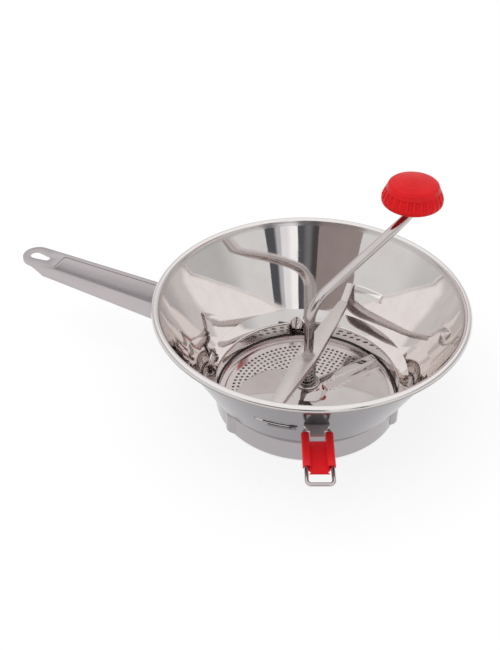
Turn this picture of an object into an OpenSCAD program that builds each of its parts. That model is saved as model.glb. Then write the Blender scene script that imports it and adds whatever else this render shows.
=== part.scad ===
// Food mill: a conical strainer bowl with a long channel handle, two folding
// support feet, a lift-out perforated disc, and a crossbar that carries the
// crank, its knob, the pressing spring and the helical blade.
// Origin: bowl axis at the bottom edge. +Z up, handle along -X, crossbar along Y.

/* [Bowl] */
// outer radius over the rolled rim
rim_r = 125; // [110:1:140]
// height of the rolled rim's centre above the bottom edge
rim_z = 97.5; // [85:0.5:110]
// radius of the rolled rim
bead_r = 3; // [2.2:0.1:4]
// thickness of the bowl sheet
wall_t = 1.0; // [0.8:0.1:1.4]
// outer radius of the cone where it meets the shelf
step_r = 84; // [78:0.2:92]
// height of the corner between cone and shelf
step_z = 30; // [26:0.5:36]
// inner radius of the upright collar
collar_r = 75.4; // [70:0.2:80]
// height at which the shelf meets the collar
collar_z = 19.6; // [16:0.2:24]
// inner radius of the flange that carries the disc
flange_r = 67.5; // [62:0.5:71]
// inner radius of the round flutes in the collar
flute_r = 7.3; // [5:0.1:9]
// how far the flutes stand out from the collar
flute_out = 3.1; // [2:0.1:5]
// height of the flute's inner floor
flute_floor = 4.6; // [3:0.1:6]

/* [Wall slots] */
// height of the rear slot's lower edge
slot_rear_z = 47.4; // [44:0.1:52]
// height of the front slot's lower edge
slot_front_z = 58.6; // [54:0.1:64]
// height of the opening of both slots
slot_h = 2.8; // [2:0.1:4]
// angle each slot runs on from the crossbar
slot_run = 19; // [12:1:24]
// how far the rear slot's hood stands in from the wall
hood_in = 3.3; // [2.6:0.1:5]

/* [Handle] */
// height of the handle's top face at the wall
grip_z = 60; // [50:0.5:80]
// rise angle of the handle
grip_rise = 2.6; // [0:0.1:15]
// distance from the bowl axis to the handle's tip
grip_end = 275; // [240:1:300]
// half width at the wall
grip_w0 = 18; // [14:0.1:22]
// half width near the tip
grip_w1 = 13.2; // [10:0.1:18]
// depth of the side skirts at the wall
grip_d0 = 14; // [10:0.5:18]
// depth of the side skirts near the tip
grip_d1 = 9.4; // [5:0.2:12]
// thickness of the handle sheet
grip_t = 1.4; // [1:0.1:2]

/* [Feet] */
// angle between +X and each foot
foot_az = 64.3; // [55:0.1:75]
// distance of the hinge wire's axis from the wall
foot_out = 4.072; // [3.6:0.001:7]
// height of the hinge wire's axis
foot_z = 62.4; // [58:0.2:68]
// droop of the opened foot below level
foot_droop = 5; // [0:1:12]
// length of the foot over the wire
foot_len = 51; // [42:0.5:60]
// wire diameter of the foot
foot_wire_d = 3; // [2.4:0.1:4]
// half width between the wire legs' axes
foot_half = 9.4; // [7:0.1:12]

/* [Disc] */
// height of the perforated plate's top face
disc_top = 3.4; // [3:0.1:4.5]
// thickness of the disc sheet
disc_t = 0.9; // [0.6:0.1:1.2]
// radius of the outermost ring of holes
hole_ring = 62.5; // [50:0.5:64]
// hole diameter
hole_d = 2.5; // [1.5:0.1:3]
// distance between holes
hole_pitch = 4.3; // [3.8:0.1:6]
// number of hole rings
hole_rows = 9; // [3:1:12]

/* [Crossbar] */
// height of the crossbar's top face
bar_top = 46.4; // [42:0.1:52]
// thickness of the crossbar sheet
bar_t = 1.4; // [1:0.1:2]
// half width at the middle
bar_w = 8.5; // [7:0.1:12]
// half width at the ends
bar_end_w = 3.2; // [2.5:0.1:5]
// depth of the side flanges
bar_d = 5; // [3:0.2:8]
// distance from the middle to the start of the raised ends
bar_flat = 79; // [60:1:84]
// height of the rear end's tip
bar_tip_z = 55; // [50:0.5:60]

/* [Crank] */
// rod diameter
rod_d = 8; // [6:0.2:10]
// direction of the crank arm from +X
crank_az = 62; // [0:1:359]
// radius at which the knob turns
crank_r = 101.5; // [85:0.5:110]
// height of the start of the lower bend
bend_z = 79; // [70:0.5:90]
// radius of the lower bend
bend_r = 26; // [15:0.5:35]
// slope of the arm
arm_slope = 24.6; // [10:0.2:45]
// radius of the upper bend
bend_top_r = 10; // [8:0.5:20]
// height of the knob's underside
knob_z = 152.5; // [145:0.5:170]
// knob radius
knob_r = 24.7; // [20:0.1:30]
// knob height
knob_h = 21; // [16:0.5:28]
// radius of the knob's dome at its edge
dome_r = 20.4; // [15:0.1:24]
// number of grip recesses round the knob
knob_n = 26; // [16:1:32]

/* [Blade] */
// outer radius of the blade
blade_r = 70; // [62:0.5:72]
// rise of the blade's leading strip above its trailing edge
blade_rise = 10.4; // [6:0.2:12]
// width of the level strip behind the leading edge
strip_w = 8.5; // [5:0.5:14]
// thickness of the blade sheet
blade_t = 1.4; // [1:0.1:2]
// gap between the blade's trailing edge and the disc
blade_gap = 0.4; // [0.2:0.1:1]

/* [Fits] */
// radial clearance of running fits
run_fit = 0.05; // [0.02:0.01:0.1]
// clearance between curved faces that move past each other
pass_gap = 0.35; // [0.3:0.05:0.6]

/* [Hidden] */
$fn = 96;
cone_k = (rim_r - 2 * bead_r + 1.1 - step_r) / (rim_z - step_z);
cone_cos = cos(atan(cone_k));
flute_x = collar_r + flute_out - flute_r;
flange_top = wall_t;
disc_edge_r = collar_r - 0.3;
plate_r = flange_r - 0.5;
rivet_x = rim_r + 6;
rivet_r = 1.6;
rivet_ys = [-9, 0, 9];
disc_edge_z = 7.6;
rod_r = rod_d / 2;
pin_r = rod_r - 1;
pilot_r = 2.5;
eyelet_r = pilot_r + 1.1;
cup_r = rod_r + 4.9;
cup_d = 1.6;
hub_r = cup_r + 1.7;
hub_top = 18;
hub_pin_z = 11.4;
hub_pin_r = 1.25;
bush_r = rod_r + 2.6;
bush_low = bar_top - 6;
catch_turn = 89;
catch_z = slot_front_z + 0.25 + bar_t / 2;
tip_r = cone_in(bar_top);
spring_low = hub_top - cup_d + 1.2;
spring_high = bush_low - 0.1;
wire_r = foot_wire_d / 2;
foot_r = cone_out(foot_z) + foot_out;
hem_t = 0.8;
hem_r = wire_r + hem_t;
foot_mid = foot_len - wire_r;
arm_start = [bend_r * (1 - sin(arm_slope)), bend_z + bend_r * cos(arm_slope)];
arm_end_x = crank_r - bend_top_r * (1 - sin(arm_slope));
arm_len = (arm_end_x - arm_start[0]) / cos(arm_slope);
arm_end = arm_start + arm_len * [cos(arm_slope), sin(arm_slope)];
post_z = arm_end[1] + bend_top_r * cos(arm_slope);
knob_top = knob_z + knob_h;
dome_ball = 62;
cap_r = 10;

// radius of the bowl wall's outer face at height z
function cone_out(z) = step_r + cone_k * (z - step_z);
// radius of the bowl wall's inner face at height z
function cone_in(z) = cone_out(z) - wall_t / cone_cos;
// radius of the middle of the bowl wall at height z
function cone_mid(z) = cone_out(z) - wall_t / 2 / cone_cos;
// unit vector of v
function unit(v) = v / norm(v);
// height of the knob's dome at radius r
function dome_z(r) = knob_top - dome_ball + sqrt(dome_ball * dome_ball - r * r);
// point where the fillet of radius r leaves corner b towards a
function leave(a, b, c, r) = b + unit(a - b) * r / tan(corner(a, b, c) / 2);
// angle at corner b
function corner(a, b, c) = acos(unit(a - b) * unit(c - b));

// which sub-part to build

steel = [0.78, 0.77, 0.78];
satin = [0.72, 0.71, 0.71];
red = [0.85, 0.12, 0.16];

// ---------- helpers ----------

// points of a path with rounded corners, rads[i] is the bend at point i
function path(pts, rads, n) = [for (i = [0 : len(pts) - 1])
  if (i == 0 || i == len(pts) - 1 || rads[i] == 0) [pts[i]]
  else curve(pts[i - 1], pts[i], pts[i + 1], rads[i], n)];
// points and normals of one rounded corner
function curve(a, b, c, r, n) = let(
    p = leave(a, b, c, r),
    m = b + unit(unit(a - b) + unit(c - b)) * r / sin(corner(a, b, c) / 2),
    turn = (180 - corner(a, b, c)) * sign(cross(b - a, c - b)),
    w = p - m)
  [for (k = [0 : n]) m + [w[0] * cos(turn * k / n) - w[1] * sin(turn * k / n),
    w[0] * sin(turn * k / n) + w[1] * cos(turn * k / n)]];
function flat(l) = [for (a = l) for (b = a) b];
// unit normal at point i of a path
function side(p, i) = let(
    d = i == 0 ? unit(p[1] - p[0]) : i == len(p) - 1 ? unit(p[i] - p[i - 1])
      : unit(unit(p[i] - p[i - 1]) + unit(p[i + 1] - p[i])))
  [-d[1], d[0]];
// how far the side line moves out at point i so that the sheet keeps its thickness
function miter(p, i) = i == 0 || i == len(p) - 1 ? 1
  : 1 / cos(acos(min(1, unit(p[i] - p[i - 1]) * unit(p[i + 1] - p[i]))) / 2);

// section of a sheet bent along points
module sheet(pts, rads, t, n = 6) {
  p = flat(path(pts, rads, n));
  last = len(p) - 1;
  polygon(concat(
    [for (i = [0 : last]) p[i] + side(p, i) * miter(p, i) * t / 2],
    [for (i = [last : -1 : 0]) p[i] - side(p, i) * miter(p, i) * t / 2]));
}

// solid inside the cone's outer face, between two heights
module cone_body(z0, z1) {
  translate([0, 0, z0]) cylinder(h = z1 - z0, r1 = cone_out(z0), r2 = cone_out(z1));
}

// round bar bent through an angle, starting upright at the origin; what follows it
// is drawn in the frame at its end
module elbow(r, a, rad) {
  translate([r, 0, 0]) rotate([90, 0, 0]) mirror([1, 0, 0])
    rotate_extrude(angle = a) translate([r, 0]) circle(rad);
  translate([r, 0, 0]) rotate([0, a, 0]) translate([-r, 0, 0]) children();
}

// ---------- bowl ----------

// sheet section of the bowl, from the disc's flange up to the open curl of the rim
module bowl_section() {
  mid = bead_r - wall_t / 2;
  eye = [rim_r - bead_r, rim_z];
  neck = [collar_r + wall_t / 2, collar_z];
  low = [cone_mid(step_z - 0.4), step_z - 0.4];
  wall = flat(path([[flange_r, wall_t / 2], [neck[0], wall_t / 2], neck, low,
    [cone_mid(rim_z - 1.4), rim_z - 1.4]], [0, 2, 4, 3, 0], 6));
  curl = [for (a = [175 : -14 : -105]) eye + mid * [cos(a), sin(a)]];
  p = concat(wall, curl);
  last = len(p) - 1;
  polygon(concat(
    [for (i = [0 : last]) p[i] + side(p, i) * miter(p, i) * wall_t / 2],
    [for (i = [last : -1 : 0]) p[i] - side(p, i) * miter(p, i) * wall_t / 2]));
}

// space inside the bowl, up to the wall's inner face
module bowl_space() {
  rotate_extrude() polygon([[0, wall_t], [collar_r, wall_t], [collar_r, collar_z + 0.4],
    [cone_in(step_z) - 0.3, step_z - 0.1], [cone_in(rim_z), rim_z], [0, rim_z]]);
}

// slot of height h through the wall, from angle a0 over angle da
module slot_cut(z, a0, da, h) {
  rotate([0, 0, a0]) rotate_extrude(angle = da)
    translate([cone_in(z) - 0.6, z]) square([9, h]);
}

// section of the hood that hangs over the rear slot on the inside
module hood_section() {
  z = slot_rear_z + slot_h;
  sheet([[cone_mid(z + 4.6), z + 4.6], [cone_mid(z + 2.6) - hood_in + 0.4, z + 2.6],
    [cone_mid(z - 1) - hood_in, z - 1]], [0, 1.5, 0], wall_t);
}

// closed end of the hood
module hood_end() {
  z = slot_rear_z + slot_h;
  polygon([[cone_mid(z + 4.6), z + 4.6], [cone_mid(z + 2.6) - hood_in + 0.4, z + 2.6],
    [cone_mid(z - 1) - hood_in, z - 1], [cone_mid(z - 1), z - 1]]);
}

// section of a pressed bead on the wall; out is 1 for a bead that stands outwards
module bead_section(z, r, out) {
  c = [cone_out(z) - wall_t / 2, z];
  d = unit([cone_k, 1]);
  n = [d[1], -d[0]] * out;
  intersection() {
    translate(c) circle(r);
    polygon([c - 6 * d + 0.3 * n, c + 6 * d + 0.3 * n, c + 6 * d + 9 * n, c - 6 * d + 9 * n]);
  }
}

// hollow behind the bead, open to the other side of the wall
module bead_hollow(z, r, out) {
  c = [cone_out(z) - wall_t / 2, z];
  d = unit([cone_k, 1]);
  n = [d[1], -d[0]] * out;
  intersection() {
    translate(c) circle(r);
    polygon([c - 6 * d - 3 * n, c + 6 * d - 3 * n, c + 6 * d + 9 * n, c - 6 * d + 9 * n]);
  }
}

module bowl() {
  lip_z = slot_front_z - 2.2;
  lip_from = -85;
  lip_run = slot_run - 6.5;
  color(steel) difference() {
    union() {
      rotate_extrude() bowl_section();
      for (k = [0 : 2]) rotate([0, 0, 120 * k]) difference() {
        translate([flute_x, 0, flute_floor - wall_t])
          cylinder(h = step_z - flute_floor + 2, r = flute_r + wall_t);
        bowl_space();
      }
      rotate([0, 0, 90 - slot_run]) {
        rotate_extrude(angle = slot_run - 3.5) hood_section();
        rotate_extrude(angle = 0.6) hood_end();
      }
      rotate([0, 0, lip_from]) rotate_extrude(angle = lip_run) bead_section(lip_z, 2.4, 1);
    }
    for (k = [0 : 2]) rotate([0, 0, 120 * k])
      translate([flute_x, 0, flute_floor]) cylinder(h = step_z + 10, r = flute_r);
    rotate([0, 0, lip_from + 0.6]) rotate_extrude(angle = lip_run - 1.2) bead_hollow(lip_z, 1.5, 1);
    slot_cut(slot_front_z, -catch_turn - 2.1, slot_run, bar_t + 0.5);
    slot_cut(slot_front_z + 0.6, -catch_turn + 2.2, slot_run - 4.8, slot_h - 0.6);
    slot_cut(slot_rear_z, 90.6 - slot_run, slot_run - 4.1, slot_h);
  }
}

// ---------- handle ----------

// plan of the handle, from the wall to its rounded tip
module grip_plan(inset) {
  tip = grip_end - grip_w1;
  w = grip_w1 - inset;
  polygon(concat([[-80, grip_w0 - inset]],
    [for (a = [90 : 6 : 270]) [-tip + w * cos(a), w * sin(a)]],
    [[-80, -grip_w0 + inset]]));
}

// teardrop outline of the hanging hole
module hang_plan() {
  x0 = -(grip_end - 11.4);
  big = 5;
  small = 3.3;
  gap = 10.6;
  lean = (big - small) / gap;
  drop = sqrt(1 - lean * lean);
  translate([x0, 0]) circle(big);
  translate([x0 + gap, 0]) circle(small);
  polygon([[x0 + big * lean, big * drop], [x0 + gap + small * lean, small * drop],
    [x0 + gap + small * lean, -small * drop], [x0 + big * lean, -big * drop]]);
}

// side view of the handle: depth tapers, skirts start behind the tip
module grip_side() {
  notch = grip_end - 26;
  polygon(concat([[-80, 1], [-80, -grip_d0], [7 - rim_r, -grip_d0]],
    [for (a = [0 : 15 : 90]) [-notch - 12 * sin(a), -3.2 - (grip_d1 - 3.2) * pow(1 - sin(a), 1.2)]],
    [[-grip_end - 2, -3.2], [-grip_end - 2, 1]]));
}

module grip_frame() {
  translate([0, 0, grip_z]) rotate([0, grip_rise, 0])
    translate([0, 0, -100 * tan(grip_rise)]) children();
}

module handle() {
  color(satin) difference() {
    grip_frame() difference() {
      intersection() {
        translate([0, 0, -30]) linear_extrude(30) grip_plan(0);
        rotate([90, 0, 0]) translate([0, 0, -40]) linear_extrude(80) grip_side();
      }
      translate([0, 0, -30 - grip_t]) linear_extrude(30) grip_plan(grip_t);
      translate([0, 0, -0.7]) linear_extrude(5) panel_plan();
      translate([0, 0, -30]) linear_extrude(60) hang_plan();
      for (y = rivet_ys) translate([-rivet_x, y, -10]) cylinder(h = 20, r = rivet_r);
    }
    cone_body(20, 90);
  }
}

// shallow sunk panel along the grip
module panel_plan() {
  x0 = rivet_x + 7;
  x1 = grip_end - 35;
  w = grip_w1 - 3.4;
  bend = 2;
  polygon(concat([[-x0, grip_w0 - 5.8]],
    [for (a = [90 : 15 : 180]) [-x1 + bend + bend * cos(a), w - bend + bend * sin(a)]],
    [for (a = [180 : 15 : 270]) [-x1 + bend + bend * cos(a), bend - w + bend * sin(a)]],
    [[-x0, -grip_w0 + 5.8]]));
}

module handle_bracket() {
  color(steel) difference() {
    grip_frame() difference() {
      intersection() {
        translate([0, 0, -grip_t - 9]) linear_extrude(9) grip_plan(grip_t);
        translate([-rivet_x - 11, -40, -40]) cube([rivet_x - 69, 80, 80]);
      }
      translate([0, 0, -grip_t - 30 - 1.5]) linear_extrude(30) grip_plan(grip_t + 1.5);
      for (y = rivet_ys) translate([-rivet_x, y, -10]) cylinder(h = 20, r = rivet_r);
    }
    cone_body(20, 90);
  }
}

module handle_rivets() {
  color(steel) grip_frame() for (y = rivet_ys) translate([-rivet_x, y, 0]) {
    translate([0, 0, -grip_t - 1.5]) cylinder(h = grip_t + 1.5, r = rivet_r);
    intersection() {
      translate([0, 0, -2.2]) sphere(3.3);
      cylinder(h = 2, r = 2.6);
    }
    translate([0, 0, -grip_t - 1.5 - 0.8]) cylinder(h = 0.8, r = 2.6);
  }
}

// ---------- feet ----------

// foot coordinates: x outwards along the foot, y along the hinge, z up
module foot_frame(side) {
  rotate([0, 0, side * foot_az]) translate([foot_r, 0, foot_z])
    rotate([0, foot_droop, 0]) children();
}

module foot_wire() {
  c = 3.2;
  color(steel) {
    for (s = [-1, 1]) {
      translate([c, s * foot_half, 0]) rotate([0, 90, 0]) cylinder(h = foot_mid - 2 * c, r = wire_r);
      translate([s > 0 ? foot_mid : 0, -foot_half + c, 0]) rotate([-90, 0, 0])
        cylinder(h = 2 * (foot_half - c), r = wire_r);
      translate([c, s * (foot_half - c), 0]) rotate([0, 0, s > 0 ? 90 : 180])
        rotate_extrude(angle = 90) translate([c, 0]) circle(wire_r);
      translate([foot_mid - c, s * (foot_half - c), 0]) rotate([0, 0, s > 0 ? 0 : -90])
        rotate_extrude(angle = 90) translate([c, 0]) circle(wire_r);
    }
  }
}

// section of one folded hem, with the leg's hollow
module hem_section() {
  hem_w = 1.5;
  difference() {
    union() {
      circle(hem_r);
      translate([-hem_w, 0]) circle(hem_r);
      translate([-hem_w, -hem_r]) square([hem_w, 2 * hem_r]);
    }
    circle(wire_r);
    translate([-hem_w, 0]) circle(wire_r);
    translate([-hem_w, -wire_r]) square([hem_w, 2 * wire_r]);
  }
}

module foot_sleeve() {
  hem_from = 3.6;
  hem_to = 34.2;
  web_from = 9.4;
  web_to = 39;
  color(red) {
    for (s = [0, 1]) mirror([0, s, 0]) translate([hem_from, foot_half, 0])
      rotate([90, 0, 90]) linear_extrude(hem_to - hem_from) hem_section();
    difference() {
      translate([web_from, -foot_half + 1.5, -hem_r])
        cube([web_to - web_from, 2 * foot_half - 3, hem_t]);
      for (s = [-1, 1]) translate([web_to - 1.4, s * (foot_half - 1.3), -5])
        rotate([0, 0, 45]) cube([3.2, 3.2, 10], center = true);
    }
  }
}

// plan of the bracket's tongue, in foot coordinates
module tongue_plan() {
  half = foot_half - 1.5 - hem_r - 0.35;
  reach = 8;
  polygon([[-9, -foot_half - 1.2], [-1, 0.4 - foot_half], [2.3, -half - 1.2], [3.1, -half], [reach, 0.2 - half],
    [reach, half - 0.2], [3.1, half], [2.3, half + 1.2], [-1, foot_half - 0.4], [-9, foot_half + 1.2]]);
}

module foot_bracket() {
  plate_t = 1.1;
  knuckle_w = 5;
  color(satin) difference() {
    union() {
      intersection() {
        translate([foot_r - 22, -8, foot_z - 9]) cube([24, 16, 9]);
        difference() {
          translate([plate_t, 0, 0]) cone_body(foot_z - 12, foot_z + 12);
          cone_body(foot_z - 13, foot_z + 13);
        }
      }
      translate([foot_r, -knuckle_w, foot_z]) rotate([-90, 0, 0])
        cylinder(h = 2 * knuckle_w, r = wire_r + plate_t);
      translate([foot_r - 8, -knuckle_w, foot_z - wire_r]) cube([8, 2 * knuckle_w, 2 * wire_r]);
      // tongue that reaches over the hinge wire, between the hems
      translate([foot_r, 0, foot_z]) rotate([0, foot_droop, 0])
        translate([0, 0, wire_r + 0.12]) linear_extrude(plate_t)
          tongue_plan();
    }
    translate([foot_r, -12, foot_z]) rotate([-90, 0, 0]) cylinder(h = 24, r = wire_r + run_fit);
    cone_body(foot_z - 14, foot_z + 14);
  }
}

module foot_bracket_front() {
  rotate([0, 0, -foot_az]) foot_bracket();
}

module foot_bracket_rear() {
  rotate([0, 0, foot_az]) foot_bracket();
}

module foot_wire_front() {
  foot_frame(-1) foot_wire();
}

module foot_wire_rear() {
  foot_frame(1) foot_wire();
}

module foot_sleeve_front() {
  foot_frame(-1) foot_sleeve();
}

module foot_sleeve_rear() {
  foot_frame(1) foot_sleeve();
}

// ---------- disc ----------

// rings of holes, each ring turned half a pitch from the last
module hole_plan() {
  for (i = [0 : hole_rows - 1]) {
    r = hole_ring - i * hole_pitch * 0.97;
    n = floor(2 * PI * r / hole_pitch);
    for (j = [0 : n - 1]) rotate((j + (i % 2) / 2) * 360 / n) translate([r, 0]) circle(hole_d / 2);
  }
}

module disc() {
  rim_sheet = disc_t - 0.1;
  seat_z = flange_top + 0.1 + rim_sheet / 2;
  edge_mid = disc_edge_r - rim_sheet / 2;
  color(steel) {
    translate([0, 0, disc_top - disc_t]) linear_extrude(disc_t) difference() {
      circle(plate_r);
      circle(eyelet_r);
      hole_plan();
    }
    rotate_extrude() sheet([[plate_r - 0.5, disc_top - disc_t / 2], [plate_r + 1.4, disc_top - disc_t / 2],
      [plate_r + 2.8, seat_z],
      [edge_mid, seat_z], [edge_mid, disc_edge_z]], [0, 0, 0, 0.9, 0], rim_sheet, 2);
    for (k = [0 : 2]) rotate([0, 0, 120 * k]) difference() {
      translate([flute_x, 0, disc_edge_z - 2.2]) cylinder(h = 2.2, r = flute_r - pass_gap);
      translate([0, 0, disc_edge_z - 4]) cylinder(h = 8, r = edge_mid);
      translate([flute_x, 0, disc_edge_z - 4]) cylinder(h = 8, r = flute_r - pass_gap - 0.9);
    }
  }
}

module disc_eyelet() {
  color(satin) difference() {
    union() {
      translate([0, 0, disc_top - disc_t - 0.8]) cylinder(h = disc_t + 1.6, r = eyelet_r);
      translate([0, 0, disc_top]) cylinder(h = 0.8, r = eyelet_r + 2.4);
      translate([0, 0, disc_top - disc_t - 0.8]) cylinder(h = 0.8, r = eyelet_r + 1.6);
    }
    cylinder(h = 12, r = pilot_r + run_fit);
  }
}

// ---------- crossbar ----------

// half width of the bar at distance y from the middle
function bar_half(y) = bar_end_w + (bar_w - bar_end_w) * (1 - pow(abs(y) / tip_r, 1.1));

// tapering plan of the bar's level part
module bar_plan(inset) {
  ys = [for (k = [-20 : 20]) bar_flat * k / 20];
  polygon(concat([for (y = ys) [bar_half(y) - inset, y]],
    [for (k = [20 : -1 : -20]) [inset - bar_half(bar_flat * k / 20), bar_flat * k / 20]]));
}

// strip of the bar's width bent along points of [distance from the middle, height]
module bar_strip(pts, rads, half) {
  rotate([90, 0, 90]) translate([0, 0, -half]) linear_extrude(2 * half) sheet(pts, rads, bar_t);
}

module crossbar() {
  mid = bar_top - bar_t / 2;
  rear_r = cone_in(bar_tip_z) - 1.3;
  front_r = cone_in(catch_z) - 4;
  color(satin) {
    difference() {
      union() {
        translate([0, 0, bar_top - bar_t]) linear_extrude(bar_t) bar_plan(0);
        difference() {
          translate([0, 0, bar_top - bar_d]) linear_extrude(bar_d - bar_t / 2) bar_plan(0);
          translate([0, 0, bar_top - bar_d - 1]) linear_extrude(bar_d + 2) bar_plan(bar_t);
        }
      }
      translate([0, 0, bar_top - 10]) cylinder(h = 20, r = bush_r - 1.6);
    }
    bar_strip([[bar_flat - 1, mid], [bar_flat + 2, mid], [rear_r, bar_tip_z]], [0, 3, 0], bar_end_w);
    // catch in the front slot
    translate([cos(catch_turn) * cone_out(catch_z), 0, 0])
      bar_strip([[1 - bar_flat, mid], [-bar_flat - 2, mid], [-front_r, catch_z],
        [-cone_out(catch_z) + 0.1, catch_z]], [0, 3, 2, 0], bar_end_w);
  }
}

module bar_bush() {
  color(satin) difference() {
    union() {
      translate([0, 0, bush_low]) cylinder(h = bar_top - bar_t - bush_low, r = bush_r + 0.3);
      translate([0, 0, bush_low]) cylinder(h = bar_top - bush_low + 0.8, r = bush_r - 1.6);
    }
    translate([0, 0, bush_low - 1]) cylinder(h = 20, r = rod_r + run_fit);
  }
}

// ---------- spring ----------

// ring of points round the wire at step i of the helix
function coil(i, n, turns, mean, wire, low, high) = let(
    a = 360 * turns * i / n,
    u = max(0, min(1, (i / n * turns - 0.8) / (turns - 1.6))),
    z = low + (high - low) * u)
  [for (k = [0 : 9]) let(q = mean + wire * cos(36 * k))
    [q * cos(a), q * sin(a), z + wire * sin(36 * k)]];

module spring() {
  turns = 7;
  wire = 0.8;
  mean = rod_r + 2.2;
  n = turns * 22;
  low = spring_low + wire;
  high = spring_high - wire;
  pts = flat([for (i = [0 : n]) coil(i, n, turns, mean, wire, low, high)]);
  skin = [for (i = [0 : n - 1]) for (k = [0 : 9]) let(a = 10 * i + k, b = 10 * i + (k + 1) % 10)
    for (f = [[a, b, a + 10], [b, b + 10, a + 10]]) f];
  ends = [for (k = [1 : 8]) for (f = [[0, k + 1, k], [10 * n, 10 * n + k, 10 * n + k + 1]]) f];
  color(steel) polyhedron(pts, concat(skin, ends));
}

module spring_seat() {
  color(steel) translate([0, 0, hub_top - cup_d + 0.1]) difference() {
    cylinder(h = 1, r = cup_r - pass_gap);
    translate([0, 0, -1]) cylinder(h = 3, r = rod_r + pass_gap);
  }
}

// ---------- crank ----------

module crank_rod() {
  color(steel) rotate([0, 0, crank_az]) {
    translate([0, 0, disc_top - disc_t - 0.6]) cylinder(h = disc_t + 2, r = pilot_r);
    difference() {
      translate([0, 0, disc_top + 1]) cylinder(h = bend_z - disc_top - 1, r = rod_r);
      translate([0, 15, hub_pin_z]) rotate([90, 0, 0]) cylinder(h = 30, r = hub_pin_r);
    }
    translate([0, 0, bend_z]) elbow(bend_r, 90 - arm_slope, rod_r) {
      cylinder(h = arm_len, r = rod_r);
      translate([0, 0, arm_len]) rotate([0, 0, 180]) elbow(bend_top_r, 90 - arm_slope, rod_r) {
        cylinder(h = knob_z - 0.4 - post_z, r = rod_r);
        cylinder(h = knob_z + knob_h - 7 - post_z, r = pin_r);
      }
    }
  }
}

module blade_hub() {
  color(steel) difference() {
    union() {
      translate([0, 0, disc_top + 1.4]) cylinder(h = 5, r = 7);
      translate([0, 0, disc_top + 3]) cylinder(h = hub_top - disc_top - 4, r = hub_r);
      translate([0, 0, hub_top - 1]) cylinder(h = 1, r1 = hub_r, r2 = hub_r - 0.6);
    }
    cylinder(h = 40, r = rod_r);
    translate([0, 0, hub_top - cup_d]) cylinder(h = 4, r = cup_r);
    rotate([0, 0, crank_az]) translate([0, 15, hub_pin_z]) rotate([90, 0, 0])
      cylinder(h = 30, r = hub_pin_r);
  }
}

module hub_pin() {
  color(satin) rotate([0, 0, crank_az]) translate([0, hub_r + 0.8, hub_pin_z]) rotate([90, 0, 0])
    cylinder(h = 2 * hub_r + 1.6, r = hub_pin_r);
}

// ---------- blade ----------

// sweep of the blade, as an angle back from its leading edge
blade_sweep = 285;
blade_n = 108;
blade_m = 14;
blade_in = hub_r - 1.8;
// outer radius of the blade at sweep angle s
function blade_out(s) = s < 195 ? blade_r : blade_r - (blade_r - 30) * pow((s - 195) / (blade_sweep - 195), 0.9);
// smooth step from 0 to 1
function ease(x) = let(t = max(0, min(1, x))) t * t * (3 - 2 * t);
// distance behind the leading edge
function behind(r, s) = s < 90 ? r * sin(s) : r;
// share of the level strip and of the collar round the hub in the surface
function strip(r, s) = max(1 - ease((behind(r, s) - strip_w) / 5), 1 - ease((r - hub_r - 2) / 6));
// height of the sloping part above the blade's lowest level
function slope_h(r, s) = let(u = (r - blade_in) / (blade_r - blade_in))
  blade_rise * (0.62 * pow(1 - u, 1.5) + 0.3 * u * exp(-s / 40));
// height of the strip above the blade's lowest level, with its edge rolled down
function strip_h(r, s) = let(u = (r - blade_in) / (blade_r - blade_in), d = behind(r, s))
  blade_rise * (1 - 0.22 * u) - (d < 2.4 ? 0.9 * pow(1 - d / 2.4, 2) : 0);
// height of the blade's underside at radius r and sweep angle s
function blade_z(r, s) = disc_top + blade_gap + ease((blade_sweep - s) / 90)
  * (slope_h(r, s) + (strip_h(r, s) - slope_h(r, s)) * strip(r, s));
// sweep angles, closer together near the leading edge
function blade_s(i) = blade_sweep * pow(i / blade_n, 1.5);
function blade_pt(i, j, t) = let(s = blade_s(i), a = crank_az - 1 - s,
    r = blade_in + (blade_out(s) - blade_in) * pow(j / blade_m, 1.25))
  [r * cos(a), r * sin(a), blade_z(r, s) + t];

module blade() {
  row = blade_m + 1;
  all = (blade_n + 1) * row;
  pts = [for (t = [0, blade_t]) for (i = [0 : blade_n]) for (j = [0 : blade_m]) blade_pt(i, j, t)];
  low = [for (i = [0 : blade_n - 1]) for (j = [0 : blade_m - 1]) let(p = i * row + j)
    for (f = [[p, p + row, p + 1], [p + 1, p + row, p + row + 1]]) f];
  top = [for (f = low) [f[2] + all, f[1] + all, f[0] + all]];
  inner = [for (i = [0 : blade_n - 1]) let(p = i * row)
    for (f = [[p, p + all, p + row], [p + row, p + all, p + row + all]]) f];
  outer = [for (i = [0 : blade_n - 1]) let(p = i * row + blade_m)
    for (f = [[p, p + row, p + all], [p + row, p + row + all, p + all]]) f];
  lead = [for (j = [0 : blade_m - 1]) for (f = [[j, j + 1, j + all], [j + 1, j + 1 + all, j + all]]) f];
  e = blade_n * row;
  trail = [for (j = [0 : blade_m - 1]) let(p = e + j)
    for (f = [[p, p + all, p + 1], [p + 1, p + all, p + 1 + all]]) f];
  color(steel) polyhedron(pts, concat(low, top, inner, outer, lead, trail));
}

// ---------- knob ----------

// half section of the knob's body: rounded foot, sloping skirt, shallow dome
module knob_section() {
  foot_e = 3;
  edge = 1.4;
  skirt_z = knob_z + 6.4;
  edge_z = dome_z(dome_r) - edge;
  intersection() {
    union() {
      translate([knob_r - foot_e, knob_z + foot_e + 0.6]) circle(foot_e);
      translate([dome_r - edge, edge_z]) circle(edge);
      polygon([[0, knob_z], [9, knob_z], [knob_r - foot_e, knob_z + 0.6], [knob_r, knob_z + foot_e + 0.6],
        [knob_r, skirt_z], [dome_r, edge_z], [dome_r - edge, edge_z + edge], [0, edge_z + edge]]);
      intersection() {
        translate([0, knob_top - dome_ball]) circle(dome_ball);
        translate([0, knob_z + 8]) square([dome_r - edge, 20]);
      }
    }
    translate([0, knob_z]) square([knob_r, knob_h]);
  }
}

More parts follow.
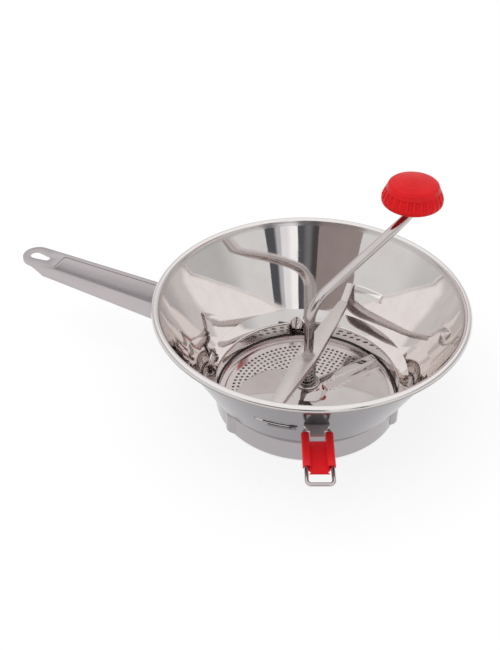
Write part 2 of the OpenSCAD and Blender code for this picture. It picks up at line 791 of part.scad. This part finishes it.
module knob() {
  dent_r = 2.05;
  dent_in = 0.9;
  top_z = dome_z(dome_r) - 1.4;
  skirt_z = knob_z + 6.4;
  tilt = atan((knob_r - dome_r) / (top_z - skirt_z));
  color(red) rotate([0, 0, crank_az]) translate([crank_r, 0, 0]) difference() {
    rotate_extrude() knob_section();
    translate([0, 0, knob_z - 1]) cylinder(h = 60, r = pin_r + run_fit);
    translate([0, 0, knob_z - 2]) cylinder(h = 4, r = rod_r + pass_gap);
    translate([0, 0, knob_z + knob_h - 9.4]) cylinder(h = 20, r = 7.4);
    translate([0, 0, knob_z + knob_h - 3.4]) cylinder(h = 20, r = cap_r);
    for (i = [0 : knob_n - 1]) rotate([0, 0, i * 360 / knob_n])
      translate([knob_r + dent_r - dent_in, 0, skirt_z - 1]) rotate([0, -tilt, 0]) {
        cylinder(h = top_z - skirt_z - 0.8, r = dent_r);
        rotate([0, tilt, 0]) translate([0, 0, -2.2]) cylinder(h = 2.2, r = dent_r);
      }
  }
}

module knob_cap() {
  color(red) rotate([0, 0, crank_az]) translate([crank_r, 0, 0]) intersection() {
    translate([0, 0, knob_top - 3.4]) cylinder(h = 6, r = cap_r);
    translate([0, 0, knob_top - dome_ball]) sphere(dome_ball);
  }
}

module knob_washer() {
  color(steel) rotate([0, 0, crank_az]) translate([crank_r, 0, knob_z + knob_h - 9.2]) difference() {
    cylinder(h = 1.2, r = 6.6);
    translate([0, 0, -1]) cylinder(h = 4, r = pin_r);
  }
}

bowl();
handle_bracket();
handle();
handle_rivets();
foot_bracket_front();
foot_bracket_rear();
foot_wire_front();
foot_wire_rear();
foot_sleeve_front();
foot_sleeve_rear();
disc();
disc_eyelet();
crossbar();
bar_bush();
spring();
spring_seat();
crank_rod();
blade();
blade_hub();
hub_pin();
knob();
knob_cap();
knob_washer();
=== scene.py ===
"""Looks of the food mill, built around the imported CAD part.

Every visible piece is a CAD node with a material, small edge radii and smooth faces.
The floor, the backdrop, the screens and the lamp make the photograph's studio.
The frame has the bowl's axis on z and the handle along -x; lengths are in metres.
"""

import math

import bpy
from mathutils import Matrix, Vector

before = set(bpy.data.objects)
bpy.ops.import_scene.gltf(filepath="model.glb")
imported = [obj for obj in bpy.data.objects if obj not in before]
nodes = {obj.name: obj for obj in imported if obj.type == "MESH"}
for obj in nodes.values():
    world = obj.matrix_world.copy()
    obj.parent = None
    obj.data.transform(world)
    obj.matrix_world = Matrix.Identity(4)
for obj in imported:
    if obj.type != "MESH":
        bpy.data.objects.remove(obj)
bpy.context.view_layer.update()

MM = 0.001


def grey(level):
    return (level, level, level, 1)


def darker(colour, share):
    return [channel * share for channel in colour[:3]] + [1]


# ---------------------------------------------------------------- camera

IMAGE_W, IMAGE_H = 500, 650
FOCAL_PX = 1000.0  # focal length of the photograph, in its pixels
# place and directions fitted to the ellipses of the rim, collar and disc in the photograph
CAM_AT = Vector((225.80, -588.22, 567.12)) * MM
CAM_FORWARD = Vector((-0.337224, 0.712196, -0.615675))
CAM_RIGHT = Vector((0.903619, 0.428336, 0.000547))
CAM_CLIP = (0.01, 50)


def make_camera():
    data = bpy.data.cameras.new("camera")
    data.sensor_fit = "AUTO"
    data.lens = data.sensor_width * FOCAL_PX / max(IMAGE_W, IMAGE_H)
    data.clip_start, data.clip_end = CAM_CLIP
    cam = bpy.data.objects.new("camera", data)
    bpy.context.scene.collection.objects.link(cam)
    back = -CAM_FORWARD.normalized()
    right = (CAM_RIGHT - back * CAM_RIGHT.dot(back)).normalized()
    up = back.cross(right)
    turn = Matrix((right, up, back)).transposed()
    cam.matrix_world = Matrix.Translation(CAM_AT) @ turn.to_4x4()
    bpy.context.scene.camera = cam


# ---------------------------------------------------------------- node helpers


class Nodes:
    """Short way to add and link shader nodes."""

    def __init__(self, tree):
        self.tree = tree
        tree.nodes.clear()

    def add(self, kind, **values):
        n = self.tree.nodes.new(kind)
        for key, value in values.items():
            setattr(n, key, value)
        return n

    def feed(self, value, socket):
        if isinstance(value, bpy.types.NodeSocket):
            self.tree.links.new(value, socket)
        elif value is not None:
            socket.default_value = value

    def maths(self, op, a, b, clamp=False):
        n = self.add("ShaderNodeMath", operation=op, use_clamp=clamp)
        for value, socket in zip((a, b), n.inputs):
            self.feed(value, socket)
        return n.outputs[0]

    def vector(self, op, a, b=None):
        n = self.add("ShaderNodeVectorMath", operation=op)
        self.feed(a, n.inputs[0])
        self.feed(b, n.inputs[1])
        return n.outputs["Value" if op in ("DOT_PRODUCT", "LENGTH") else "Vector"]

    def split(self, v):
        n = self.add("ShaderNodeSeparateXYZ")
        self.feed(v, n.inputs[0])
        return n.outputs

    def join(self, x, y, z):
        n = self.add("ShaderNodeCombineXYZ")
        for value, socket in zip((x, y, z), n.inputs):
            self.feed(value, socket)
        return n.outputs[0]

    def span(self, value, low, high, to_low=0.0, to_high=1.0, smooth=True):
        n = self.add(
            "ShaderNodeMapRange",
            interpolation_type="SMOOTHSTEP" if smooth else "LINEAR",
        )
        for v, socket in zip((value, low, high, to_low, to_high), n.inputs):
            self.feed(v, socket)
        return n.outputs[0]

    def noise(self, where, scale, detail=3.0, rough=0.5, stretch=(1, 1, 1)):
        m = self.add("ShaderNodeMapping")
        self.feed(where, m.inputs["Vector"])
        m.inputs["Scale"].default_value = stretch
        n = self.add("ShaderNodeTexNoise")
        self.tree.links.new(m.outputs[0], n.inputs["Vector"])
        n.inputs["Scale"].default_value = scale
        n.inputs["Detail"].default_value = detail
        n.inputs["Roughness"].default_value = rough
        return n.outputs[0]

    def mix(self, factor, a, b):
        n = self.add("ShaderNodeMix", data_type="RGBA")
        self.feed(factor, n.inputs[0])
        self.feed(a, n.inputs[6])
        self.feed(b, n.inputs[7])
        return n.outputs[2]

    def bump(self, height, distance, strength):
        n = self.add("ShaderNodeBump")
        n.inputs["Strength"].default_value = strength
        n.inputs["Distance"].default_value = distance
        self.feed(height, n.inputs["Height"])
        return n.outputs[0]


def new_material(name):
    m = bpy.data.materials.new(name)
    m.use_nodes = True
    return m, Nodes(m.node_tree)


def finish_material(n, colour, roughness, metallic, normal, **fixed):
    shader = n.add("ShaderNodeBsdfPrincipled")
    n.feed(colour, shader.inputs["Base Color"])
    n.feed(roughness, shader.inputs["Roughness"])
    shader.inputs["Metallic"].default_value = metallic
    n.feed(normal, shader.inputs["Normal"])
    for key, value in fixed.items():
        shader.inputs[key.replace("_", " ")].default_value = value
    out = n.add("ShaderNodeOutputMaterial")
    n.tree.links.new(shader.outputs[0], out.inputs[0])


# ---------------------------------------------------------------- materials

# scales of the noises, in waves per metre
LINE_SCALE, WAVE_SCALE, HAZE_SCALE = 2600.0, 22.0, 60.0
GRAIN_SCALE, CLOUD_SCALE = 900.0, 45.0
RED_CLOUD_SCALE = 60.0
BOWL_LINE_SCALE, BOWL_WAVE_SCALE, BOWL_HAZE_SCALE = 2200.0, 20.0, 55.0
# heights of the bumps, and of the polishing lines as a share of the waviness
WAVE_DEPTH, GRAIN_DEPTH, PEEL_DEPTH, BOWL_WAVE_DEPTH = 0.6 * MM, 0.06 * MM, 0.03 * MM, 0.7 * MM
LINE_SHARE = 0.006
BOWL_LINE_SHARE = (0.006, 0.008)  # inside and outside

EDGE_BLEND = 0.3 * MM
# painted shade for a sheet's edge that lies in a gap
GAP_SHADE_BLACK = (0.05, 0.045, 0.043, 1)


def polished(name, base=(0.55, 0.51, 0.50, 1), rough=0.06, gap_shade_edge=None):
    """Mirror-polished sheet: faint spinning lines round the axis and soft waviness.

    gap_shade_edge is the radius and height past which the sheet is painted nearly black, as
    painted shade of a gap.
    """
    m, n = new_material(name)
    where = n.add("ShaderNodeTexCoord").outputs["Object"]
    x, y, z = n.split(where)
    radius = n.vector("LENGTH", n.join(x, y, 0.0))
    lines = n.noise(n.join(radius, z, 0.0), LINE_SCALE, 2.0)
    wave = n.noise(where, WAVE_SCALE, 1.0, 0.4)
    haze = n.noise(where, HAZE_SCALE, 4.0, 0.6)
    tint = n.mix(n.span(haze, 0.35, 0.7), base, darker(base, 0.94))
    if gap_shade_edge:
        # painted shade: nearly black beyond the given radius and height
        at_r, at_z = gap_shade_edge
        beyond = n.span(radius, at_r, at_r + EDGE_BLEND)
        edge = n.maths("MULTIPLY", beyond, n.span(z, at_z, at_z + EDGE_BLEND))
        tint = n.mix(edge, tint, GAP_SHADE_BLACK)
    roughness = n.maths(
        "ADD", rough, n.maths("MULTIPLY", n.span(haze, 0.45, 0.8), rough * 0.9)
    )
    height = n.maths("ADD", n.maths("MULTIPLY", lines, LINE_SHARE), wave)
    normal = n.bump(height, WAVE_DEPTH, 0.35)
    finish_material(n, tint, roughness, 1.0, normal)
    return m


def satin(name, base, rough, along=(1, 18, 18)):
    """Brushed or tumbled sheet; `along` is the grain's stretch on x, y and z."""
    m, n = new_material(name)
    where = n.add("ShaderNodeTexCoord").outputs["Object"]
    grain = n.noise(where, GRAIN_SCALE, 3.0, 0.55, along)
    cloud = n.noise(where, CLOUD_SCALE, 3.0, 0.55)
    tint = n.mix(n.span(grain, 0.3, 0.7), darker(base, 0.93), base)
    roughness = n.maths(
        "ADD", rough - 0.05, n.maths("MULTIPLY", n.span(cloud, 0.3, 0.75), 0.1)
    )
    height = n.maths("ADD", grain, n.maths("MULTIPLY", cloud, 0.8))
    normal = n.bump(height, GRAIN_DEPTH, 0.5)
    finish_material(n, tint, roughness, 1.0, normal)
    return m


CONE_0 = 67.955 * MM  # radius of the cone's outer face carried down to the ground
CONE_K = 0.534815  # how much it grows with height
# where one finish of the bowl ends and the next one starts, each as (from, to)
SHELF_Z = (18 * MM, 24 * MM)  # collar below, cone above
RIM_Z = (94.6 * MM, 95.4 * MM)
HOOD_DEPTH = (1.4 * MM, 2.2 * MM)  # how far the hood stands in from the cone's outer face
HOOD_Y = (90 * MM, 91 * MM)
# the front slot's four sides
SLOT_FROM = (math.radians(-91.2), math.radians(-91.0))
SLOT_TO = (math.radians(-71.9), math.radians(-72.1))
SLOT_LOW = (58.35 * MM, 58.5 * MM)
SLOT_HIGH = (61.6 * MM, 61.45 * MM)

# tints of the bowl's steel; a pair is mixed by haze or by the polishing lines
INNER_TINTS = (0.865, 0.83, 0.815, 1), (0.83, 0.785, 0.77, 1)
# painted shade: the outside tints stand in for the shaded floor it mirrors, darkest on the
# down-facing cone
CONE_SHADED_TINTS = (0.20, 0.185, 0.20, 1), (0.23, 0.212, 0.227, 1)
COLLAR_SHADED_TINTS = (0.42, 0.395, 0.405, 1), (0.46, 0.43, 0.44, 1)
RIM_SHADED_TINTS = (0.26, 0.24, 0.235, 1), (0.82, 0.785, 0.775, 1)  # painted shade under the curl, and the top
# painted shade in the front slot's gap
SLOT_SHADE_TINT = (0.02, 0.018, 0.018, 1)
HOOD_TINT = (0.52, 0.49, 0.48, 1)
INNER_ROUGH, OUTER_ROUGH = (0.035, 0.04), (0.13, 0.06)  # the least, and what haze adds
RIM_ROUGH, HOOD_ROUGH = 0.16, 0.22


def bowl_skin():
    """Mirror inside, satin outside darkened by painted shade, told apart by which way the sheet
    faces.
    """
    m, n = new_material("bowl_steel")
    coord = n.add("ShaderNodeTexCoord")
    where = coord.outputs["Object"]
    x, y, z = n.split(where)
    radial = n.vector("NORMALIZE", n.join(x, y, 0.0))
    outward = n.vector("DOT_PRODUCT", coord.outputs["Normal"], radial)
    upward = n.split(coord.outputs["Normal"])[2]
    facing = n.maths("SUBTRACT", outward, n.maths("MULTIPLY", upward, 0.6))
    outside = n.span(facing, 0.1, 0.5)
    radius = n.vector("LENGTH", n.join(x, y, 0.0))
    lines = n.noise(n.join(radius, z, 0.0), BOWL_LINE_SCALE, 2.0)
    wave = n.noise(where, BOWL_WAVE_SCALE, 1.0, 0.4)
    haze = n.noise(where, BOWL_HAZE_SCALE, 4.0, 0.6)
    inner = n.mix(n.span(haze, 0.35, 0.75), *INNER_TINTS)
    # painted shade outside: the cone darker than the collar
    outer = n.mix(n.span(z, *SHELF_Z), n.mix(lines, *COLLAR_SHADED_TINTS), n.mix(lines, *CONE_SHADED_TINTS))
    colour = n.mix(outside, inner, outer)
    on_rim = n.span(z, *RIM_Z)
    # painted shade: the rim's curl turns dark where it faces down
    colour = n.mix(on_rim, colour, n.mix(n.span(upward, -0.35, 0.65), *RIM_SHADED_TINTS))
    (least_in, haze_in), (least_out, haze_out) = INNER_ROUGH, OUTER_ROUGH
    hazy = n.span(haze, 0.45, 0.85)
    rough_in = n.maths("ADD", least_in, n.maths("MULTIPLY", hazy, haze_in))
    rough_out = n.maths("ADD", least_out, n.maths("MULTIPLY", haze, haze_out))
    roughness = n.maths(
        "ADD",
        n.maths("MULTIPLY", rough_in, n.maths("SUBTRACT", 1.0, outside)),
        n.maths("MULTIPLY", rough_out, outside),
    )
    roughness = n.maths("MAXIMUM", roughness, n.maths("MULTIPLY", on_rim, RIM_ROUGH))
    # painted shade: the front slot's cut faces are painted nearly black for the shade in its gap
    around = n.maths("ARCTAN2", y, x)
    opening = n.maths("MULTIPLY", n.span(around, *SLOT_FROM), n.span(around, *SLOT_TO))
    height_in = n.maths("MULTIPLY", n.span(z, *SLOT_LOW), n.span(z, *SLOT_HIGH))
    colour = n.mix(n.maths("MULTIPLY", opening, height_in), colour, SLOT_SHADE_TINT)
    # the hood over the rear slot is darker and rougher
    cone_r = n.maths("ADD", n.maths("MULTIPLY", z, CONE_K), CONE_0)
    depth = n.maths("SUBTRACT", cone_r, radius)
    hood = n.maths("MULTIPLY", n.span(depth, *HOOD_DEPTH), n.span(y, *HOOD_Y))
    colour = n.mix(hood, colour, HOOD_TINT)
    roughness = n.maths("MAXIMUM", roughness, n.maths("MULTIPLY", hood, HOOD_ROUGH))
    line_share = n.span(outside, 0, 1, *BOWL_LINE_SHARE)
    height = n.maths("ADD", n.maths("MULTIPLY", lines, line_share), wave)
    normal = n.bump(height, BOWL_WAVE_DEPTH, 0.4)
    finish_material(n, colour, roughness, 1.0, normal)
    return m


def glossy_red(name, base, rough, peel, shine):
    """Red plastic or coating: clouded colour and a fine skin of the given scale."""
    m, n = new_material(name)
    where = n.add("ShaderNodeTexCoord").outputs["Object"]
    cloud = n.noise(where, RED_CLOUD_SCALE, 3.0, 0.5)
    fine = n.noise(where, peel, 2.0, 0.5)
    tint = n.mix(n.span(cloud, 0.3, 0.75), base, darker(base, 0.9))
    roughness = n.maths("ADD", rough, n.maths("MULTIPLY", n.span(cloud, 0.4, 0.8), 0.08))
    normal = n.bump(fine, PEEL_DEPTH, 0.4)
    finish_material(n, tint, roughness, 0.0, normal, Specular_IOR_Level=shine)
    return m


# ---------------------------------------------------------------- dressing the CAD nodes


def smoothing_group():
    """Geometry nodes that shade smooth across edges shallower than an angle."""
    g = bpy.data.node_groups.new("smooth_by_angle", "GeometryNodeTree")
    g.interface.new_socket("Geometry", in_out="INPUT", socket_type="NodeSocketGeometry")
    g.interface.new_socket("Angle", in_out="INPUT", socket_type="NodeSocketFloat")
    g.interface.new_socket("Geometry", in_out="OUTPUT", socket_type="NodeSocketGeometry")
    start, end = g.nodes.new("NodeGroupInput"), g.nodes.new("NodeGroupOutput")
    faces = g.nodes.new("GeometryNodeSetShadeSmooth")
    edges = g.nodes.new("GeometryNodeSetShadeSmooth")
    faces.domain, edges.domain = "FACE", "EDGE"
    angle = g.nodes.new("GeometryNodeInputMeshEdgeAngle")
    shallow = g.nodes.new("FunctionNodeCompare")
    shallow.data_type, shallow.operation = "FLOAT", "LESS_EQUAL"
    link = g.links.new
    link(start.outputs[0], faces.inputs["Geometry"])
    link(faces.outputs[0], edges.inputs["Geometry"])
    link(angle.outputs[0], shallow.inputs[0])
    link(start.outputs[1], shallow.inputs[1])
    link(shallow.outputs[0], edges.inputs["Shade Smooth"])
    link(edges.outputs[0], end.inputs[0])
    return g


SMOOTHING = smoothing_group()
WELD_GAP = 0.01 * MM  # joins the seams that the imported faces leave


def dress(node, material, soften=0.25, angle=32.0):
    """Gives a CAD node its material, edge radii of `soften` mm and smooth faces."""
    o = nodes[node]
    o.data.materials.clear()
    o.data.materials.append(material)
    bpy.context.view_layer.objects.active = o
    if o.data.has_custom_normals:
        bpy.ops.mesh.customdata_custom_splitnormals_clear()
    weld = o.modifiers.new("weld", "WELD")
    weld.merge_threshold = WELD_GAP
    if soften:
        bevel = o.modifiers.new("edges", "BEVEL")
        bevel.width = soften * MM
        bevel.segments = 2
        bevel.limit_method = "ANGLE"
        bevel.angle_limit = math.radians(angle)
        bevel.use_clamp_overlap = True
    smooth = o.modifiers.new("smooth", "NODES")
    smooth.node_group = SMOOTHING
    smooth["Socket_1"] = math.radians(angle)  # the group's Angle


# painted shade: the disc's rim beyond this radius and height is painted nearly black for the gap
# under the wall
DISC_GAP_SHADE = (73.9 * MM, 6.2 * MM)

BOWL = bowl_skin()
POLISHED = polished("polished_steel")
BRIGHT = polished("bright_rod", base=(0.60, 0.555, 0.545, 1), rough=0.08)
DULL = satin("spring_wire", base=(0.30, 0.28, 0.275, 1), rough=0.3)
HANDLE = satin("handle_satin", base=(0.54, 0.495, 0.505, 1), rough=0.34, along=(1, 14, 14))
SATIN = satin("bar_satin", base=(0.66, 0.61, 0.595, 1), rough=0.3, along=(14, 1, 14))
BRACKET = satin("bracket_satin", base=(0.86, 0.82, 0.81, 1), rough=0.45)
DISC = polished("disc_steel", base=(0.66, 0.61, 0.60, 1), rough=0.12, gap_shade_edge=DISC_GAP_SHADE)
RED_KNOB = glossy_red("red_plastic", (0.86, 0.010, 0.015, 1), 0.38, 500.0, shine=0.2)
RED_FOOT = glossy_red("red_coating", (0.92, 0.016, 0.024, 1), 0.30, 900.0, shine=0.3)

dress("bowl", BOWL, 0.2, 25.0)
dress("handle", HANDLE, 0.5, 40.0)
dress("handle_bracket", HANDLE, 0.2)
dress("handle_rivets", BRIGHT, 0.15)
for side in ("front", "rear"):
    dress("foot_bracket_" + side, BRACKET, 0.15)
    dress("foot_wire_" + side, BRIGHT, 0)
    dress("foot_sleeve_" + side, RED_FOOT, 0.25)
dress("disc", DISC, 0)
dress("disc_eyelet", SATIN, 0.15)
dress("crossbar", SATIN, 0.35)
dress("bar_bush", SATIN, 0.2)
dress("spring", DULL, 0, 60.0)
dress("spring_seat", SATIN, 0.15)
dress("crank_rod", BRIGHT, 0)
dress("blade", POLISHED, 0.2, 35.0)
dress("blade_hub", BRIGHT, 0.4)
dress("hub_pin", SATIN, 0.15)
dress("knob", RED_KNOB, 0.5, 30.0)
dress("knob_cap", RED_KNOB, 0.25)
dress("knob_washer", SATIN, 0.15)


# ---------------------------------------------------------------- stage

FLOOR_HALF, FLOOR_DROP = 12.0, 0.5 * MM
FLOOR_WHITE, FLOOR_SEEN, FLOOR_GLOW = 0.9, 0.28, 0.79  # as a light source, as seen, its glow
BOWL_FOOT_R, FOOT_BLEND = 76.4 * MM, 6 * MM

DIFFUSE_LEVEL = 0.7  # the backdrop's strength as a light; it is 1 where it is seen
WALL_LEVEL, WALL_TOP = 0.70, (0.55, 0.62)  # mirrored walls and the height where they end
# parts of the walls that are darker, by direction, and by how much
EAST_CORNER, EAST_SHADE = ((0.2, 0.6), (-0.2, 0.2)), 0.2
WEST_WALL, WEST_SHADE = (-0.80, -0.97), 0.12

FLAG_AT = 2.5  # how far the screens stand from the bowl's axis
FLAG_BLEND = 0.35  # how far one shade of a screen runs into the next
DARK = (0.085, 0.087, 0.098)

LAMP_AT, LAMP_SIZE, LAMP_POWER = (-0.45, -0.75, 1.75), 2.2, 9
LAMP_AIM = (0, 0, 50 * MM)


def seen_share(n):
    """1 where the camera, a mirror or glass sees the surface, 0 where it only lights."""
    rays = n.add("ShaderNodeLightPath")
    direct = n.maths("ADD", rays.outputs["Is Camera Ray"], rays.outputs["Is Glossy Ray"])
    return n.maths("ADD", direct, rays.outputs["Is Transmission Ray"], clamp=True)


def flat_piece(name, corners):
    mesh = bpy.data.meshes.new(name)
    mesh.from_pydata(corners, [], [(0, 1, 2, 3)])
    piece = bpy.data.objects.new(name, mesh)
    bpy.context.scene.collection.objects.link(piece)
    return piece


def make_floor():
    """White where it is seen, with a share of real light so that shadows stay."""
    signs = ((-1, -1), (1, -1), (1, 1), (-1, 1))
    floor = flat_piece("floor", [(sx * FLOOR_HALF, sy * FLOOR_HALF, 0) for sx, sy in signs])
    floor.location.z = -FLOOR_DROP
    m, n = new_material("floor")
    where = n.add("ShaderNodeTexCoord").outputs["Object"]
    # the floor under the bowl gets only the light that really falls there
    open_floor = n.span(n.vector("LENGTH", where), BOWL_FOOT_R - FOOT_BLEND, BOWL_FOOT_R)
    share = n.maths("MULTIPLY", seen_share(n), open_floor)
    diffuse = n.add("ShaderNodeBsdfDiffuse")
    n.feed(n.mix(share, grey(FLOOR_WHITE), grey(FLOOR_SEEN)), diffuse.inputs[0])
    glow = n.add("ShaderNodeEmission")
    glow.inputs[0].default_value = grey(1)
    n.feed(n.maths("MULTIPLY", share, FLOOR_GLOW), glow.inputs[1])
    mixed = n.add("ShaderNodeAddShader")
    n.tree.links.new(diffuse.outputs[0], mixed.inputs[0])
    n.tree.links.new(glow.outputs[0], mixed.inputs[1])
    out = n.add("ShaderNodeOutputMaterial")
    n.tree.links.new(mixed.outputs[0], out.inputs[0])
    floor.data.materials.append(m)


def make_world():
    """White backdrop; mirrors show it too, greyer where the studio's walls are."""
    world = bpy.data.worlds.new("studio")
    bpy.context.scene.world = world
    world.use_nodes = True
    n = Nodes(world.node_tree)
    back = n.add("ShaderNodeBackground")
    towards = n.add("ShaderNodeTexCoord").outputs["Generated"]
    x, y, height = n.split(towards)
    level = n.vector("NORMALIZE", n.join(x, y, 0.0))
    east, north, _ = n.split(level)
    in_east, in_north = EAST_CORNER
    corner = n.maths("MULTIPLY", n.span(east, *in_east), n.span(north, *in_north, 0, EAST_SHADE))
    sides = n.maths("ADD", corner, n.span(east, *WEST_WALL, 0, WEST_SHADE))
    shade = n.maths("ADD", sides, 1 - WALL_LEVEL)
    low = n.span(height, *WALL_TOP, 1.0, 0.0)
    mirrored = n.add("ShaderNodeLightPath").outputs["Is Glossy Ray"]
    wall = n.maths("MULTIPLY", mirrored, n.maths("MULTIPLY", low, shade))
    lit = n.span(seen_share(n), 0.0, 1.0, DIFFUSE_LEVEL, 1.0, smooth=False)
    n.feed(n.maths("SUBTRACT", lit, wall), back.inputs["Strength"])
    back.inputs["Color"].default_value = grey(1)
    out = n.add("ShaderNodeOutputWorld")
    n.tree.links.new(back.outputs[0], out.inputs[0])


def make_flag(name, from_az, to_az, low, high, *colours):
    """Studio screen behind the camera, which only the mirror-bright metal shows.

    It stands between two azimuths and two elevations in degrees, and its colours
    run into each other from the first azimuth to the second.
    """
    a, b = math.radians(from_az), math.radians(to_az)
    left = Vector((math.cos(a), math.sin(a), 0)) * FLAG_AT
    right = Vector((math.cos(b), math.sin(b), 0)) * FLAG_AT
    z0, z1 = (FLAG_AT * math.tan(math.radians(e)) for e in (low, high))
    flag = flat_piece(name, [(0, 0, 0), (1, 0, 0), (1, 1, 0), (0, 1, 0)])
    across, up = right - left, Vector((0, 0, z1 - z0))
    turn = Matrix((across, up, across.cross(up))).transposed().to_4x4()
    flag.matrix_world = Matrix.Translation(left + Vector((0, 0, z0))) @ turn
    flag.visible_camera = flag.visible_diffuse = flag.visible_shadow = False
    m, n = new_material(name)
    along = n.split(n.add("ShaderNodeTexCoord").outputs["Object"])[0]
    shade = (*colours[0], 1)
    for i, colour in enumerate(colours[1:]):
        start = (i + 1 - FLAG_BLEND) / len(colours)
        end = (i + 1 + FLAG_BLEND) / len(colours)
        shade = n.mix(n.span(along, start, end), shade, (*colour, 1))
    card = n.add("ShaderNodeEmission")
    n.feed(shade, card.inputs[0])
    out = n.add("ShaderNodeOutputMaterial")
    n.tree.links.new(card.outputs[0], out.inputs[0])
    flag.data.materials.append(m)


def make_lamp():
    """Soft lamp up to the left, which gives the shadows and no highlight of its own."""
    data = bpy.data.lights.new("softbox", "AREA")
    data.shape, data.size, data.energy = "SQUARE", LAMP_SIZE, LAMP_POWER
    lamp = bpy.data.objects.new("softbox", data)
    lamp.visible_glossy = False
    bpy.context.scene.collection.objects.link(lamp)
    lamp.location = LAMP_AT
    lamp.rotation_mode = "QUATERNION"
    lamp.rotation_quaternion = (Vector(LAMP_AT) - Vector(LAMP_AIM)).to_track_quat("Z", "Y")


make_camera()
make_floor()
make_world()
make_flag("screen_narrow", -30.5, -42, 2, 31, DARK, DARK, (0.5, 0.5, 0.52))
make_flag("screen_white", -42, -56, 2, 31, (0.8, 0.8, 0.82), (1.0, 1.0, 1.0))
make_flag("screen_dark", -56, -73, 2, 34, DARK, (0.17, 0.17, 0.18), (0.07, 0.064, 0.064))
make_flag("screen_grey", -73, -107, 2, 30, (0.29, 0.24, 0.23), (0.31, 0.26, 0.25))
make_lamp()

scene = bpy.context.scene
# the bowl mirrors itself many times, and a mirror that runs out of bounces turns black
scene.cycles.max_bounces = scene.cycles.glossy_bounces = 12
scene.view_settings.view_transform = "Standard"
